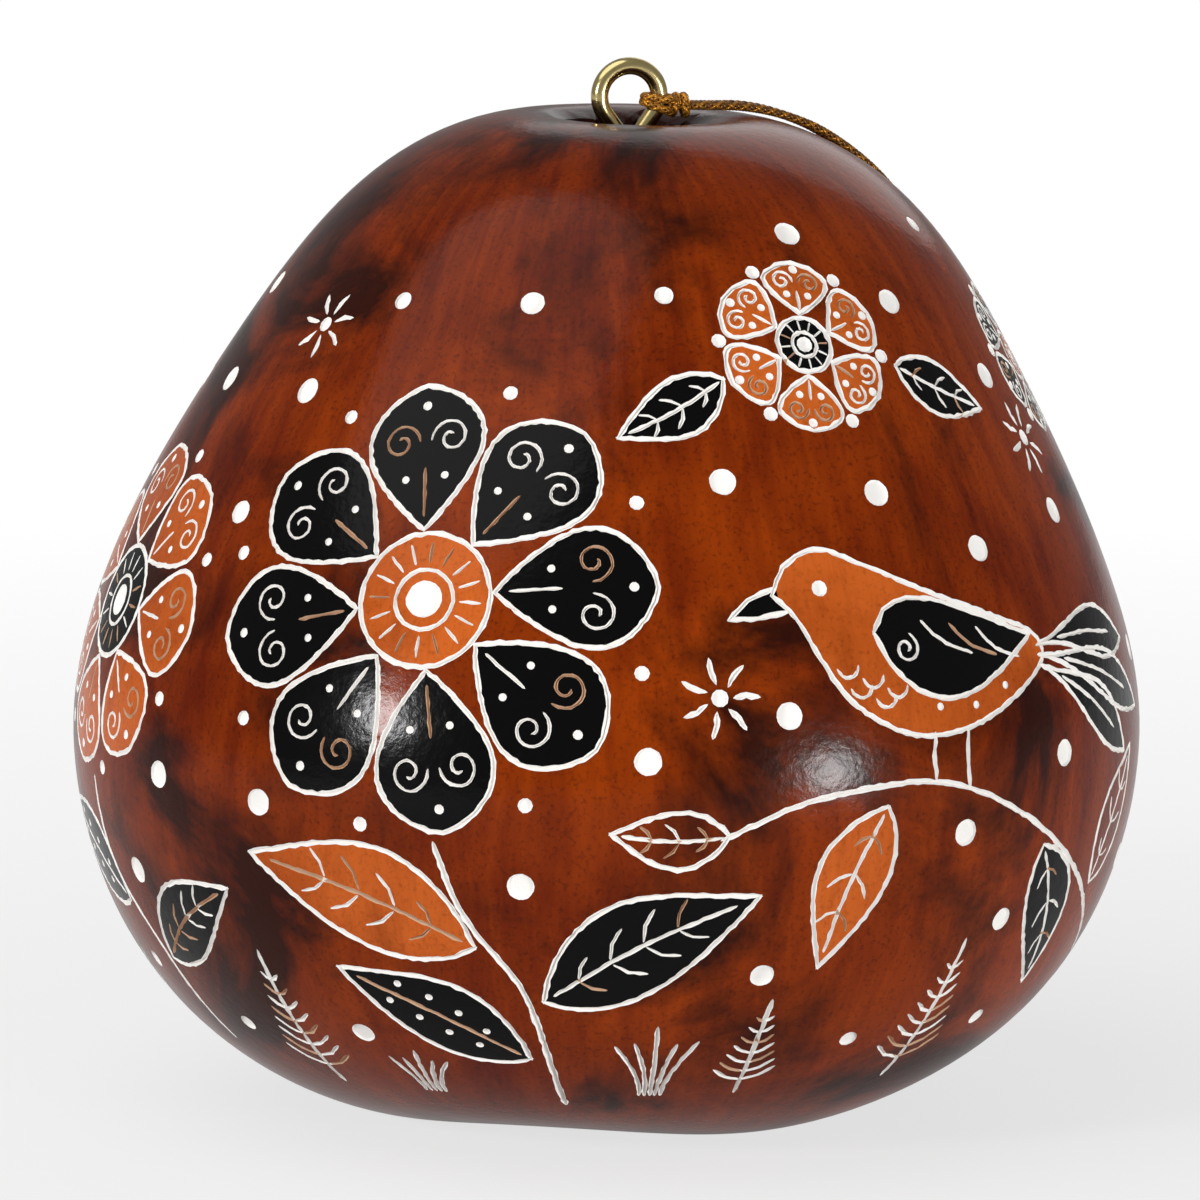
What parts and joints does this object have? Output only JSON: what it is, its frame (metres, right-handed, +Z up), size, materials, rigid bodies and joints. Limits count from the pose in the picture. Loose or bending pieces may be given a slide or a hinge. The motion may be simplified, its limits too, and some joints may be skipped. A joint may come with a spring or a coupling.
{
  "type": "carved gourd ornament",
  "caption": "Round hollow dried gourd with a carved and stained skin, a brass screw eye in its stem dimple and a braided cord loop to hang it by.",
  "frame": {"origin": "on the surface it stands on, under the middle of the belly", "axes": "+Z up to the stem, +X to the side where the cord lies, the carved front faces -Y"},
  "size_m": [0.08, 0.08, 0.079],
  "materials": {
    "gourd_skin": "red-brown stain under satin varnish, with white cut lines and black and orange fields",
    "stem_wood": "dry dark cork",
    "brass": "polished",
    "cord": "shiny amber braid",
    "seed": "dry matt husk"
  },
  "bodies": {
    "gourd": {"gourd_shell": "gourd_skin", "stem_core": "stem_wood", "screw_eye": "brass", "dried_seeds": "seed"},
    "cord": {"cord_knot": "cord", "cord_loop": "cord"}
  },
  "joints": [
    {"name": "cord_swing", "type": "hinge", "parent": "gourd", "child": "cord", "pos_m": [0.0017, 0, 0.07605], "axis": [0.2079, -0.9781, 0], "range_deg": [0, 103]}
  ]
}
